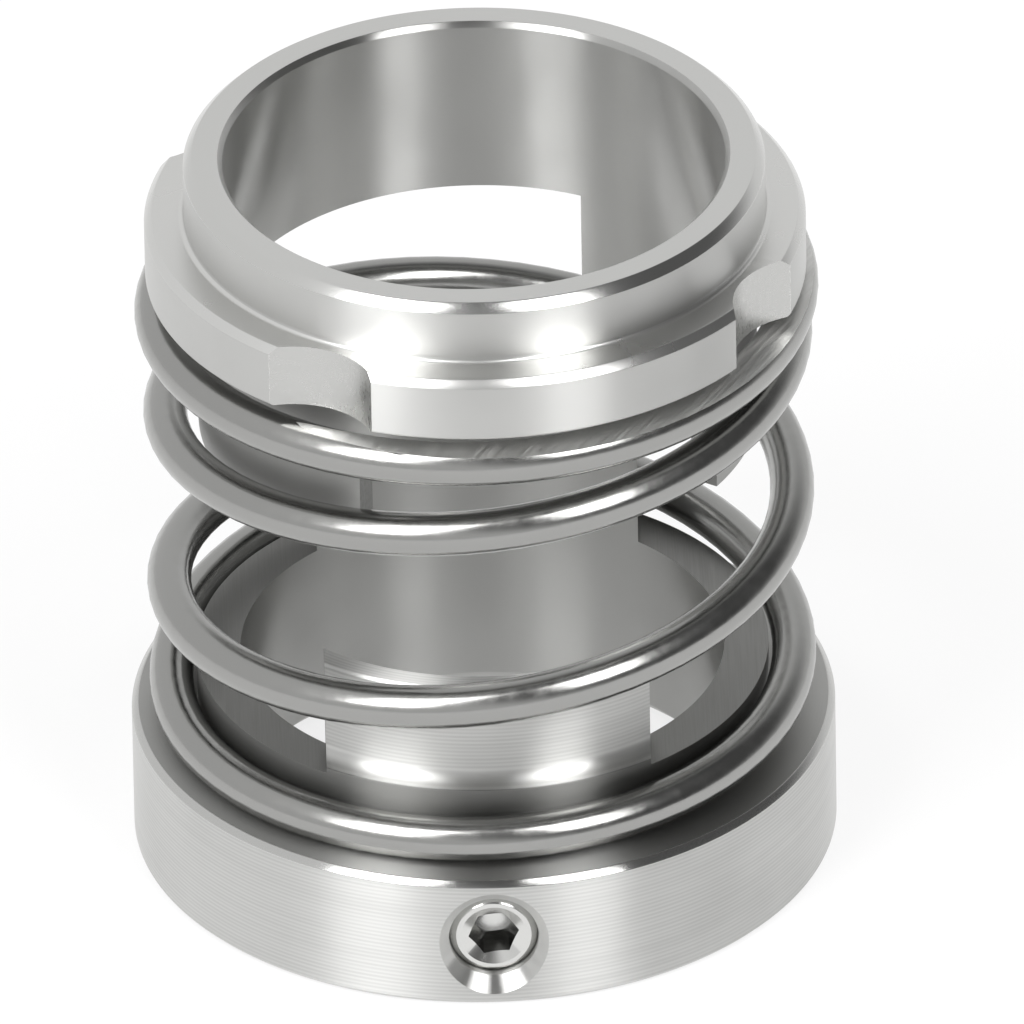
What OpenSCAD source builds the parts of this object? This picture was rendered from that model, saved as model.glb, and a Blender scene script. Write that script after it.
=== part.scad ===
// Rotating half of a single-spring shaft seal: a drive collar that a set screw
// holds on the shaft, a coil spring that stands on it, and a slotted seal ring
// that the spring carries. The two tongues of the collar drive the ring once it
// is pressed down over them. The shaft runs along +Z, the seal stands on the
// flat end of the collar, and the set screw and one tongue point to -Y.

/* [Shaft] */
// Diameter of the shaft that the collar is clamped on
shaft_d = 33; // [31:0.5:35]

/* [Drive collar] */
// Wall of the collar, from the bore to the outside
collar_wall = 7.5; // [7.3:0.1:9]
// Height of the rim that the spring stands on
rim_h = 9.2; // [8.8:0.1:12]
// Bevel on the upper edge of the rim
rim_bevel = 0.5; // [0.2:0.1:0.6]
// Bevel on the lower edge of the collar
foot_bevel = 0.4; // [0.2:0.1:0.8]
// Bevel that leads the shaft into the bore
lead_bevel = 1.15; // [0.6:0.05:1.8]
// Wall of the hub that centres the spring
hub_wall = 3; // [2.7:0.1:3.2]
// Height of the hub above the rim
hub_h = 5.2; // [4:0.1:6]
// Depth that is milled off the hub beside the tongues
mill_h = 0.4; // [0.2:0.1:1]
// Width of a tongue across its flat sides
tongue_w = 22; // [16:0.5:23]
// Wall of a tongue
tongue_wall = 1.8; // [1.4:0.1:2.2]
// Height of a tongue above the hub
tongue_h = 7.4; // [5:0.1:9]
// Broken edge on the tip of a tongue
tongue_edge = 0.2; // [0.1:0.05:0.4]

/* [Set screw] */
// Diameter of the screw thread
screw_d = 6; // [5:0.5:6.5]
// Running room on the radius between the screw and its hole
screw_room = 0.05; // [0.02:0.01:0.08]
// Height of the screw axis above the foot of the collar
screw_z = 4.9; // [4.3:0.1:5.1]
// Width of the countersink round the screw hole
sink_d = 7.7; // [7.2:0.1:8.2]
// How deep the screw's outer face lies below the outside of the collar
screw_recess = 1.1; // [0.6:0.1:2]
// How far the screw's point stands back from the shaft
point_back = 0.4; // [0.1:0.1:1]
// Bevel round the ends of the screw
screw_bevel = 0.45; // [0.2:0.05:0.8]
// Width across the flats of the hexagon socket
hex_w = 3; // [2.5:0.5:3.5]
// Depth of the hexagon socket
hex_depth = 3; // [2:0.1:3.4]
// Width of the cone that opens the mouth of the socket
mouth_d = 4.5; // [4.1:0.1:4.8]
// Width of the cup in the screw's point
cup_d = 3.2; // [2:0.1:3.6]

/* [Spring] */
// Thickness of the wire
wire_d = 3; // [2.6:0.1:3.2]
// Distance between the two seats of the spring
spring_len = 35.1; // [32:0.1:40]
// Number of turns from tip to tip
coil_turns = 3.95; // [3.85:0.05:4.25]
// Room between the hub and the inside of the spring
spring_room = 0.25; // [0.1:0.05:0.5]
// How much wider on the radius the upper end coil stands
end_spread = 0.45; // [0:0.05:0.6]
// Thickness of wire that grinding leaves at each tip
tip_h = 2.4; // [1.6:0.1:2.6]

/* [Seal ring] */
// Room on the radius between the shaft and the ring
ring_room = 0.5; // [0.2:0.1:0.8]
// Wall of the slotted sleeve
sleeve_wall = 2; // [1.6:0.1:2.2]
// Length of the sleeve below the flange
sleeve_len = 11.8; // [9:0.1:13]
// Length of the slots in the sleeve
slot_len = 7.6; // [5:0.1:8.6]
// Room between a tongue and each end of its slot
slot_room = 0.25; // [0.1:0.05:0.5]
// Angle that the ring stands turned away from the tongues
ring_turn = 15.2; // [0:0.1:30]
// Wall of the flange, from the bore to the outside
flange_wall = 5.4; // [5.2:0.1:6]
// Thickness of the flange
flange_h = 4.35; // [3:0.05:6]
// Bevel on the upper edge of the flange
flange_bevel = 0.5; // [0.2:0.05:0.8]
// Broken edge under the flange
flange_edge = 0.2; // [0.1:0.05:0.4]
// Wall of the nose
nose_wall = 2.7; // [1.6:0.05:3]
// Height of the nose above the flange
nose_h = 4.35; // [3:0.05:6]
// Round in the corner at the foot of the nose
nose_round = 0.4; // [0.1:0.05:0.6]
// Bevel on the outer edge of the sealing face
nose_bevel = 0.6; // [0.1:0.05:0.8]
// Bevel on the inner edge of the sealing face
face_bevel = 0.35; // [0.1:0.05:0.6]
// Width of the end mill that made the hollows in the flange
hollow_d = 11.4; // [9:0.1:13]
// Depth of the hollows below the outside of the flange
hollow_depth = 1.9; // [1:0.1:2.2]
// Angle from the middle of a slot to the middle of a hollow
hollow_at = 45; // [42:0.5:48]

/* [Hidden] */
$fn = 96;
// How far a cutting shape reaches past the surface that it cuts
past = 1;
bore_r = shaft_d / 2;
collar_r = bore_r + collar_wall;
hub_r = bore_r + hub_wall;
hub_z = rim_h + hub_h;
mill_z = hub_z - mill_h;
tongue_r = bore_r + tongue_wall;
tongue_z = hub_z + tongue_h;
// The tongue runs out in a round that ends on the edge of the hub
tongue_round = hub_wall - tongue_wall;
screw_r = screw_d / 2;
hole_r = screw_r + screw_room;
sink_r = sink_d / 2;
sink_depth = sink_r - hole_r;
screw_out = collar_r - screw_recess;
screw_in = bore_r + point_back;
screw_len = screw_out - screw_in;
cup_r = cup_d / 2;
// The drill point at the bottom of the socket is a flat cone
socket_point = hex_w / 4;
// The mouth of the socket opens this many degrees to each side
mouth_half = 60;
mouth_r = mouth_d / 2;
mouth_depth = (mouth_r - hex_w / 2) / tan(mouth_half);
// The socket is seen a little turned
socket_turn = 7;
wire_r = wire_d / 2;
coil_r = hub_r + spring_room + wire_r;
seat_z = rim_h + spring_len;
// Sides of the wire and rings of points in one turn
wire_sides = 12;
turn_rings = 36;
// The lower tip lies at the back, this many degrees before the front
tip_turn = -185;
// Turns from the lower tip and the pitch there in millimetres a turn, as the
// spring was wound: closed end coils, and open ones that are not quite even
pitch_marks = [
    [0, 3.2], [0.45, 2.6], [0.65, 6], [0.85, 15], [1.3, 8.8], [1.55, 15], [2, 14],
    [coil_turns - 1.75, 11.5], [coil_turns - 1.35, 12.5], [coil_turns - 1.15, 6.5],
    [coil_turns - 0.95, 3.2], [coil_turns, 3.2]
];
ring_bore_r = bore_r + ring_room;
sleeve_r = ring_bore_r + sleeve_wall;
sleeve_z = seat_z - sleeve_len;
slot_half = asin((tongue_w / 2 + slot_room) / ring_bore_r);
flange_r = ring_bore_r + flange_wall;
flange_z = seat_z + flange_h;
nose_r = ring_bore_r + nose_wall;
face_z = flange_z + nose_h;
hollow_r = hollow_d / 2;

// Section of the collar, with the tongue's height all the way round
module collar_section() {
    difference() {
        polygon([
            [bore_r + lead_bevel, 0],
            [collar_r - foot_bevel, 0],
            [collar_r, foot_bevel],
            [collar_r, rim_h - rim_bevel],
            [collar_r - rim_bevel, rim_h],
            [hub_r, rim_h],
            [hub_r, hub_z + tongue_round],
            [tongue_r, hub_z + tongue_round],
            [tongue_r, tongue_z - tongue_edge],
            [tongue_r - tongue_edge, tongue_z],
            [bore_r + tongue_edge, tongue_z],
            [bore_r, tongue_z - tongue_edge],
            [bore_r, lead_bevel]
        ]);
        translate([hub_r, hub_z + tongue_round]) circle(r = tongue_round);
    }
}

// Everything that the mill takes off on one side of both tongues
module side_cut(side) {
    reach = collar_r + past;
    rise = tongue_z - mill_z + past;
    translate([side * (tongue_w + reach) / 2, 0, mill_z + rise / 2])
        cube([reach, 2 * reach, rise], center = true);
}

// Hole for the set screw with its countersink, from the axis out to the front
module screw_hole() {
    translate([0, 0, screw_z]) rotate([90, 0, 0]) {
        cylinder(r = hole_r, h = collar_r + past);
        translate([0, 0, collar_r - sink_depth])
            cylinder(r1 = hole_r, r2 = sink_r + past, h = sink_depth + past);
    }
}

module drive_collar() {
    color("gainsboro") difference() {
        rotate_extrude() collar_section();
        side_cut(-1);
        side_cut(1);
        screw_hole();
    }
}

// Section of the screw from its cup point outwards
module screw_section() {
    polygon([
        [0, cup_r / 2],
        [cup_r, 0],
        [screw_r - screw_bevel, 0],
        [screw_r, screw_bevel],
        [screw_r, screw_len - screw_bevel],
        [screw_r - screw_bevel, screw_len],
        [0, screw_len]
    ]);
}

module set_screw() {
    hex_r = hex_w / 2 / cos(30);
    socket_z = screw_len - hex_depth;
    color("silver") translate([0, 0, screw_z]) rotate([90, 0, 0]) translate([0, 0, screw_in])
        difference() {
            rotate_extrude() screw_section();
            translate([0, 0, socket_z]) rotate([0, 0, socket_turn])
                cylinder(r = hex_r, h = hex_depth + past, $fn = 6);
            translate([0, 0, socket_z - socket_point])
                cylinder(r1 = 0, r2 = hex_w / 2, h = socket_point);
            translate([0, 0, screw_len - mouth_depth])
                cylinder(r1 = hex_w / 2, r2 = mouth_r + past * tan(mouth_half), h = mouth_depth + past);
        }
}

// Points of one section of the wire: the grinding planes flatten what would
// stand past the seats
function wire_ring(turn, z, lead) =
    let (
        a = tip_turn + 360 * turn,
        spread = lookup(turn, [[coil_turns - 1.1, 0], [coil_turns - 0.7, end_spread]]),
        r = coil_r + spread
    )
    [for (i = [0 : wire_sides - 1])
        let (
            b = 360 * (i + 0.5) / wire_sides,
            out = r + wire_r * cos(b),
            up = wire_r * sin(b) * cos(lead),
            along = -wire_r * sin(b) * sin(lead)
        )
        [
            out * sin(a) + along * cos(a),
            -out * cos(a) + along * sin(a),
            min(max(z + up, rim_h), seat_z)
        ]
    ];

// Sweeps the wire from tip to tip along the heights that the pitch adds up to
module spring() {
    last = round(turn_rings * coil_turns);
    step = coil_turns / last;
    rises = [for (i = 0, z = 0; i <= last; z = z + step * lookup((i + 0.5) * step, pitch_marks), i = i + 1) z];
    first_z = rim_h + tip_h - wire_r;
    share = (seat_z - tip_h + wire_r - first_z) / rises[last];
    points = [for (i = [0 : last])
        let (
            turn = i * step,
            lead = atan(lookup(turn, pitch_marks) * share / (2 * PI * coil_r))
        )
        each wire_ring(turn, first_z + share * rises[i], lead)
    ];
    walls = [for (i = [0 : last - 1], j = [0 : wire_sides - 1])
        let (
            k = (j + 1) % wire_sides,
            low = i * wire_sides,
            high = low + wire_sides
        )
        [low + j, low + k, high + k, high + j]
    ];
    first_end = [for (j = [wire_sides - 1 : -1 : 0]) j];
    last_end = [for (j = [0 : wire_sides - 1]) last * wire_sides + j];
    color("darkgray") polyhedron(points, concat(walls, [first_end, last_end]), convexity = 8);
}

// Section of the ring, with the sleeve at its full length all the way round
module ring_section() {
    difference() {
        polygon([
            [ring_bore_r, sleeve_z],
            [sleeve_r, sleeve_z],
            [sleeve_r, seat_z],
            [flange_r - flange_edge, seat_z],
            [flange_r, seat_z + flange_edge],
            [flange_r, flange_z - flange_bevel],
            [flange_r - flange_bevel, flange_z],
            [nose_r + nose_round, flange_z],
            [nose_r + nose_round, flange_z + nose_round],
            [nose_r, flange_z + nose_round],
            [nose_r, face_z - nose_bevel],
            [nose_r - nose_bevel, face_z],
            [ring_bore_r + face_bevel, face_z],
            [ring_bore_r, face_z - face_bevel]
        ]);
        translate([nose_r + nose_round, flange_z + nose_round]) circle(r = nose_round);
    }
}

// Slot with radial ends, cut from the free end of the sleeve
module slot() {
    reach = sleeve_r + past;
    side = reach * tan(slot_half);
    translate([0, 0, sleeve_z - past]) linear_extrude(slot_len + past)
        polygon([[0, 0], [-side, -reach], [side, -reach]]);
}

// Round hollow that an end mill leaves in the edge of the flange
module hollow(angle) {
    middle_r = flange_r - hollow_depth + hollow_r;
    rotate([0, 0, angle]) translate([0, -middle_r, seat_z - past])
        cylinder(r = hollow_r, h = flange_h + 2 * past);
}

module seal_ring() {
    color("gainsboro") rotate([0, 0, ring_turn]) difference() {
        rotate_extrude() ring_section();
        for (side = [0, 180]) rotate([0, 0, side]) {
            slot();
            hollow(-hollow_at);
            hollow(hollow_at);
        }
    }
}

drive_collar();
set_screw();
spring();
seal_ring();
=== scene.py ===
"""Looks of the rotating half of a single-spring shaft seal.

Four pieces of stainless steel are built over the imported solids: a turned drive
collar with two milled tongues, its set screw, a coil spring of drawn wire and
a finely turned seal ring. Lengths are millimetres unless a name says
otherwise, and every mesh is made in metres in the frame of the solids.
"""

import logging
import math
from collections.abc import Callable, Iterable, Sequence
from dataclasses import dataclass, field
from enum import Enum
from typing import ClassVar

import bmesh
import bpy
from mathutils import Matrix, Vector

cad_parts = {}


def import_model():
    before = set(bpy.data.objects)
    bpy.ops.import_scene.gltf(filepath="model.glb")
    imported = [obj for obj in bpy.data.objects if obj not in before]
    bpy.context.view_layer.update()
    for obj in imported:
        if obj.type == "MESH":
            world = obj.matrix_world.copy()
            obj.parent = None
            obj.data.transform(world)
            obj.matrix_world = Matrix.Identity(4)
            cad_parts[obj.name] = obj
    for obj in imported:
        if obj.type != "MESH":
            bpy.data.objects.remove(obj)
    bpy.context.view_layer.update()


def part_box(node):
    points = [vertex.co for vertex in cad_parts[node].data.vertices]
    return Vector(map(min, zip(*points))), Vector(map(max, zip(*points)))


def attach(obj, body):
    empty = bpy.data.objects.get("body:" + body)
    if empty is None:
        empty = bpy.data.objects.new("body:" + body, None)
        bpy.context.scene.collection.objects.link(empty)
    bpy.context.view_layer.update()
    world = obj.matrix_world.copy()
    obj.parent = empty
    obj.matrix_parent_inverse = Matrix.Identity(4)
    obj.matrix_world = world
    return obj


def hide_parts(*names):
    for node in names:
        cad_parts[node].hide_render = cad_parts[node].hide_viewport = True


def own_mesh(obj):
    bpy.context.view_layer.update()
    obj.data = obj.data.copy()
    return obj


MM = 0.001
TURN = 2 * math.pi
UP = Vector((0, 0, 1))
# Points closer than this are one point, and points closer than the second lie in a plane (metres)
SAME_POINT = 1e-7
IN_PLANE = 1e-8
# Shares of a normal along an axis, from a face square to it to one that hardly tilts
SQUARE = 0.99
MOSTLY = 0.9
OBLIQUE = 0.8
LEANING = 0.5
SLOPING = 0.3
TILTED = 0.2
UPRIGHT = 0.1
# How far a face's middle may be from where it is looked for, in millimetres
NEAR = 0.05
# Noise runs from 0 to 1 but seldom passes these
NOISE_LOW, NOISE_HIGH = 0.3, 0.7
LOG = logging.getLogger("shaft_seal")
Point = tuple[float, float]


class Facing(Enum):
    """Which way a flat cutting plane keeps the metal."""

    KEEP_ABOVE = 1
    KEEP_BELOW = -1


def linear(colour: str) -> tuple[float, float, float, float]:
    """Turns an sRGB hex colour into linear light.

    Args:
        colour: Six hex digits, with or without a hash.

    Returns:
        Red, green, blue and an alpha of one.
    """
    digits = colour.lstrip("#")
    parts = [int(digits[i : i + 2], 16) / 255 for i in (0, 2, 4)]
    red, green, blue = (p / 12.92 if p <= 0.04045 else ((p + 0.055) / 1.055) ** 2.4 for p in parts)
    return red, green, blue, 1.0


def direction(azimuth: float, elevation: float) -> Vector:
    """Turns two angles into a direction.

    Args:
        azimuth: Degrees from the front towards the right.
        elevation: Degrees above the horizon.

    Returns:
        The direction from the seal, of length one.
    """
    a, e = math.radians(azimuth), math.radians(elevation)
    return Vector((math.sin(a) * math.cos(e), -math.cos(a) * math.cos(e), math.sin(e)))


def add(
    tree: bpy.types.NodeTree,
    kind: str,
    settings: dict[str, object] | None = None,
    values: dict[str | int, object] | None = None,
    links: dict[str | int, bpy.types.NodeSocket] | None = None,
) -> bpy.types.Node:
    """Adds one node to a tree.

    Args:
        tree: The node tree that gets the node.
        kind: The node's type name, such as "ShaderNodeMath".
        settings: The node's own options by name.
        values: Constants by the name or place of their socket.
        links: Outputs of other nodes by the socket that they feed.

    Returns:
        The new node.
    """
    node = tree.nodes.new(kind)
    for name, value in (settings or {}).items():
        setattr(node, name, value)
    for key, value in (values or {}).items():
        node.inputs[key].default_value = value
    for key, output in (links or {}).items():
        tree.links.new(output, node.inputs[key])
    return node


def arc(centre: Point, radius: float, first: float, last: float, count: int) -> list[Point]:
    """Places points on a round.

    Args:
        centre: Middle of the round.
        radius: Its radius.
        first: Angle of the first point in degrees, counter-clockwise from +X.
        last: Angle of the last point in degrees.
        count: Number of steps between the two.

    Returns:
        The points from first to last.
    """
    angles = [math.radians(first + (last - first) * i / count) for i in range(count + 1)]
    return [(centre[0] + radius * math.cos(a), centre[1] + radius * math.sin(a)) for a in angles]


def lathe(section: Sequence[Point], steps: int, closed: bool = True) -> bmesh.types.BMesh:
    """Turns a section round the Z axis.

    Args:
        section: Corners as radius and height, in order.
        steps: Number of steps in the full turn.
        closed: True for a section that closes on itself, False for one whose
            ends lie on the axis.

    Returns:
        The turned shape, closed and with its faces outward.
    """
    shape = bmesh.new()
    verts = [shape.verts.new((r * MM, 0, z * MM)) for r, z in section]
    followers = verts[1:] + verts[:1] if closed else verts[1:]
    edges = [shape.edges.new(pair) for pair in zip(verts, followers)]
    bmesh.ops.spin(
        shape,
        geom=verts + edges,
        cent=(0, 0, 0),
        axis=UP,
        dvec=(0, 0, 0),
        angle=TURN,
        steps=steps,
        use_merge=True,
        use_duplicate=False,
    )
    bmesh.ops.remove_doubles(shape, verts=shape.verts, dist=SAME_POINT)
    bmesh.ops.recalc_face_normals(shape, faces=shape.faces)
    return shape


def break_edges(shape: bmesh.types.BMesh, width: float, least_angle: float = 20.0) -> None:
    """Rounds every crease of a shape a little, as deburring does.

    Args:
        shape: The shape to change.
        width: Width that is taken off each side of a crease.
        least_angle: Smallest bend in degrees that counts as a crease.
    """
    limit = math.radians(least_angle)
    creases = [e for e in shape.edges if len(e.link_faces) == 2 and e.calc_face_angle() > limit]
    bmesh.ops.bevel(
        shape,
        geom=creases,
        offset=width * MM,
        offset_type="OFFSET",
        segments=2,
        profile=0.5,
        affect="EDGES",
        clamp_overlap=True,
        material=-1,
    )


def object_from(name: str, shape: bmesh.types.BMesh) -> bpy.types.Object:
    """Makes an object at the origin from a shape, and frees the shape.

    Args:
        name: Name of the object and its mesh.
        shape: The shape, in metres and in place.

    Returns:
        The new object, linked to the scene.
    """
    mesh = bpy.data.meshes.new(name)
    shape.to_mesh(mesh)
    shape.free()
    made = bpy.data.objects.new(name, mesh)
    bpy.context.scene.collection.objects.link(made)
    return made


def extruded(name: str, outline: Sequence[Point], low: float, high: float) -> bpy.types.Object:
    """Makes an upright prism from an outline.

    Args:
        name: Name of the object.
        outline: Corners as x and y, in order.
        low: Height of its lower face.
        high: Height of its upper face.

    Returns:
        The prism.
    """
    shape = bmesh.new()
    face = shape.faces.new([shape.verts.new((x * MM, y * MM, low * MM)) for x, y in outline])
    grown = bmesh.ops.extrude_face_region(shape, geom=[face])["geom"]
    top = [v for v in grown if isinstance(v, bmesh.types.BMVert)]
    bmesh.ops.translate(shape, verts=top, vec=(0, 0, (high - low) * MM))
    bmesh.ops.recalc_face_normals(shape, faces=shape.faces)
    return object_from(name, shape)


def block(name: str, centre: Sequence[float], size: Sequence[float]) -> bpy.types.Object:
    """Makes a box.

    Args:
        name: Name of the object.
        centre: Middle of the box.
        size: Its three widths.

    Returns:
        The box.
    """
    shape = bmesh.new()
    place = Matrix.Translation(Vector(centre) * MM) @ Matrix.Diagonal((*(s * MM for s in size), 1))
    bmesh.ops.create_cube(shape, size=1, matrix=place)
    return object_from(name, shape)


def cone(name: str, first: Point, last: Point, place: Matrix, sides: int = 96) -> bpy.types.Object:
    """Makes a cylinder or cone along the Z axis of a place.

    Args:
        name: Name of the object.
        first: Radius and height of its lower end.
        last: Radius and height of its upper end.
        place: Where it goes, in millimetres.
        sides: Number of sides, such as 6 for a hexagon.

    Returns:
        The cylinder or cone.
    """
    shape = bmesh.new()
    middle = Matrix.Translation((0, 0, (first[1] + last[1]) / 2))
    bmesh.ops.create_cone(
        shape,
        cap_ends=True,
        segments=sides,
        radius1=first[0],
        radius2=last[0],
        depth=last[1] - first[1],
        matrix=Matrix.Scale(MM, 4) @ place @ middle,
    )
    return object_from(name, shape)


def carve(body: bpy.types.Object, cutters: Iterable[bpy.types.Object]) -> None:
    """Cuts shapes out of a body and deletes the shapes.

    Args:
        body: The object that is cut.
        cutters: Closed shapes that are taken away.
    """
    tools = list(cutters)
    for tool in tools:
        cut = body.modifiers.new("cut", "BOOLEAN")
        cut.operation = "DIFFERENCE"
        cut.solver = "EXACT"
        cut.object = tool
    graph = bpy.context.evaluated_depsgraph_get()
    body.data = bpy.data.meshes.new_from_object(body.evaluated_get(graph))
    body.modifiers.clear()
    for tool in tools:
        bpy.data.objects.remove(tool)


def shade(body: bpy.types.Object, crease: float = 30.0) -> None:
    """Shades a body smooth up to its creases, with its flats kept flat.

    Args:
        body: The object to shade.
        crease: Smallest bend in degrees that stays a hard edge.
    """
    body.data.shade_smooth()
    body.data.set_sharp_from_angle(angle=math.radians(crease))
    weigh = body.modifiers.new("flat faces", "WEIGHTED_NORMAL")
    weigh.keep_sharp = True


def dress(
    body: bpy.types.Object,
    finishes: Sequence["Finish"],
    choose: Callable[[Vector, Vector], "Finish"],
) -> None:
    """Gives a body its finishes.

    Args:
        body: The object to dress.
        finishes: The finishes, the main one first.
        choose: Picks a face's finish from its middle in millimetres and its
            normal.
    """
    body.data.materials.clear()
    for finish in finishes:
        body.data.materials.append(finish.material())
    places = {finish.name: place for place, finish in enumerate(finishes)}
    for face in body.data.polygons:
        face.material_index = places[choose(face.center / MM, face.normal).name]


@dataclass(frozen=True)
class Finish:
    """A metal surface: what all finishes of the seal have in common."""

    name: str
    colour: str
    roughness: float

    def shader(self, tree: bpy.types.NodeTree, metal: bpy.types.Node) -> None:
        """Adds the finish's own pattern; the plain metal has none."""

    def material(self) -> bpy.types.Material:
        """Builds the material once, and finds it again after that.

        Returns:
            The material.
        """
        known = bpy.data.materials.get(self.name)
        if known:
            return known
        made = bpy.data.materials.new(self.name)
        made.use_nodes = True
        tree = made.node_tree
        tree.nodes.clear()
        metal = add(
            tree,
            "ShaderNodeBsdfPrincipled",
            values={
                "Base Color": linear(self.colour),
                "Metallic": 1.0,
                "Roughness": self.roughness,
            },
        )
        add(tree, "ShaderNodeOutputMaterial", links={"Surface": metal.outputs["BSDF"]})
        self.shader(tree, metal)
        return made


@dataclass(frozen=True)
class TurnedSteel(Finish):
    """Stainless steel off the lathe: fine rings that draw lamps out into streaks."""

    # Real feed marks are 0.05 to 0.1 mm apart, too fine to show, so they are drawn coarser
    pitch: float = 0.3
    ring_depth: float = 0.002
    # Share by which the grooves of the tool marks are painted darker, as painted shade
    groove_shade: float = 0.0
    feed_share: float = 0.3
    ring_length: float = 20.0
    stretch: float = 1.0
    cloud: float = 0.05
    cloud_width: float = 6.0
    axis: tuple[float, float, float] = (0, 0, 1)
    axis_height: float = 0.0

    def shader(self, tree: bpy.types.NodeTree, metal: bpy.types.Node) -> None:
        """Adds rings of tool marks with painted shade in their grooves where asked, a clouded gloss
        and the stretch of the streaks.

        Args:
            tree: The material's node tree.
            metal: Its surface shader.
        """
        place = add(tree, "ShaderNodeTexCoord")
        centred = add(
            tree,
            "ShaderNodeVectorMath",
            {"operation": "SUBTRACT"},
            {1: (0, 0, self.axis_height * MM)},
            {0: place.outputs["Object"]},
        ).outputs[0]
        round_axis = add(
            tree,
            "ShaderNodeVectorMath",
            {"operation": "CROSS_PRODUCT"},
            {0: self.axis},
            {1: centred},
        ).outputs[0]
        rings, feed = self.tool_marks(tree, centred, round_axis)
        height = add(
            tree,
            "ShaderNodeMath",
            {"operation": "MULTIPLY_ADD"},
            {1: self.feed_share},
            {0: feed, 2: rings},
        )
        bump = add(
            tree,
            "ShaderNodeBump",
            values={"Strength": 1.0, "Distance": self.ring_depth * MM},
            links={"Height": height.outputs[0]},
        )
        cloud = add(
            tree,
            "ShaderNodeTexNoise",
            values={"Scale": 1 / (self.cloud_width * MM), "Detail": 4.0},
            links={"Vector": centred},
        )
        gloss = add(
            tree,
            "ShaderNodeMapRange",
            values={3: self.roughness - self.cloud, 4: self.roughness + self.cloud},
            links={0: cloud.outputs["Fac"]},
        )
        # Painted shade in the grooves of the tool marks
        if self.groove_shade:
            self.tint(tree, metal, height.outputs[0])
        grain = add(
            tree,
            "ShaderNodeVectorTransform",
            {"vector_type": "VECTOR", "convert_from": "OBJECT", "convert_to": "WORLD"},
            links={0: round_axis},
        )
        # A quarter turn lays the streak across the rings
        metal.inputs["Anisotropic"].default_value = self.stretch
        metal.inputs["Anisotropic Rotation"].default_value = 0.25
        tree.links.new(grain.outputs[0], metal.inputs["Tangent"])
        tree.links.new(gloss.outputs[0], metal.inputs["Roughness"])
        tree.links.new(bump.outputs[0], metal.inputs["Normal"])

    def tool_marks(
        self,
        tree: bpy.types.NodeTree,
        centred: bpy.types.NodeSocket,
        round_axis: bpy.types.NodeSocket,
    ) -> tuple[bpy.types.NodeSocket, bpy.types.NodeSocket]:
        """Adds the marks of the cutting tool.

        Args:
            tree: The material's node tree.
            centred: The place, measured from the lathe's axis.
            round_axis: The way round the axis, as long as the radius.

        Returns:
            Uneven rings from 0 to 1, and the even feed marks from -1 to 1.
        """
        radius = add(tree, "ShaderNodeVectorMath", {"operation": "LENGTH"}, links={0: round_axis})
        height = add(
            tree, "ShaderNodeVectorMath", {"operation": "DOT_PRODUCT"}, {1: self.axis}, {0: centred}
        )
        # Height plus radius grows along every turned face
        along = add(
            tree,
            "ShaderNodeMath",
            {"operation": "ADD"},
            links={0: height.outputs["Value"], 1: radius.outputs["Value"]},
        ).outputs[0]
        # One ring fades into the next after an arc of this length
        slow = add(
            tree,
            "ShaderNodeVectorMath",
            {"operation": "SCALE"},
            {"Scale": 1 / (self.ring_length * MM)},
            {0: centred},
        )
        count, swing = (
            add(tree, "ShaderNodeMath", {"operation": "MULTIPLY"}, {1: each}, {0: along}).outputs[0]
            for each in (1 / (self.pitch * MM), TURN / (self.pitch * MM))
        )
        rings = add(
            tree,
            "ShaderNodeTexNoise",
            {"noise_dimensions": "4D"},
            {"Scale": 1.0, "Detail": 2.0, "Roughness": 0.6},
            {"Vector": slow.outputs[0], "W": count},
        )
        feed = add(tree, "ShaderNodeMath", {"operation": "SINE"}, links={0: swing})
        return rings.outputs["Fac"], feed.outputs[0]

    def tint(
        self, tree: bpy.types.NodeTree, metal: bpy.types.Node, height: bpy.types.NodeSocket
    ) -> None:
        """Paints shade into the grooves by darkening the metal's colour there.

        Args:
            tree: The material's node tree.
            metal: Its surface shader.
            height: The height of the tool marks, about 0.5.
        """
        light = linear(self.colour)
        dark = (*(part * (1 - self.groove_shade) for part in light[:3]), 1.0)
        share = add(tree, "ShaderNodeMapRange", values={1: 0.2, 2: 0.8}, links={0: height})
        mix = add(
            tree,
            "ShaderNodeMix",
            {"data_type": "RGBA"},
            {6: dark, 7: light},
            {0: share.outputs[0]},
        )
        tree.links.new(mix.outputs[2], metal.inputs["Base Color"])


@dataclass(frozen=True)
class CutSteel(Finish):
    """Milled or ground stainless steel: straight scratches across a dull ground."""

    scratch_width: float = 0.12
    scratch_length: float = 6.0
    depth: float = 0.002
    turned_by: float = 0.0
    # Shares of the roughness between which the gloss clouds
    clearest: float = 0.75
    dullest: float = 1.25

    def shader(self, tree: bpy.types.NodeTree, metal: bpy.types.Node) -> None:
        """Adds straight scratches that also cloud the gloss.

        Args:
            tree: The material's node tree.
            metal: Its surface shader.
        """
        place = add(tree, "ShaderNodeTexCoord")
        length, width = self.scratch_length * MM, self.scratch_width * MM
        lay = add(
            tree,
            "ShaderNodeMapping",
            {"vector_type": "TEXTURE"},
            {"Rotation": (0, 0, math.radians(self.turned_by)), "Scale": (length, width, width * 3)},
            {"Vector": place.outputs["Object"]},
        )
        marks = add(
            tree,
            "ShaderNodeTexNoise",
            values={"Scale": 1.0, "Detail": 3.0, "Roughness": 0.65},
            links={"Vector": lay.outputs[0]},
        )
        bump = add(
            tree,
            "ShaderNodeBump",
            values={"Strength": 1.0, "Distance": self.depth * MM},
            links={"Height": marks.outputs["Fac"]},
        )
        gloss = add(
            tree,
            "ShaderNodeMapRange",
            values={
                1: NOISE_LOW,
                2: NOISE_HIGH,
                3: self.roughness * self.clearest,
                4: self.roughness * self.dullest,
            },
            links={0: marks.outputs["Fac"]},
        )
        tree.links.new(gloss.outputs[0], metal.inputs["Roughness"])
        tree.links.new(bump.outputs[0], metal.inputs["Normal"])


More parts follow.
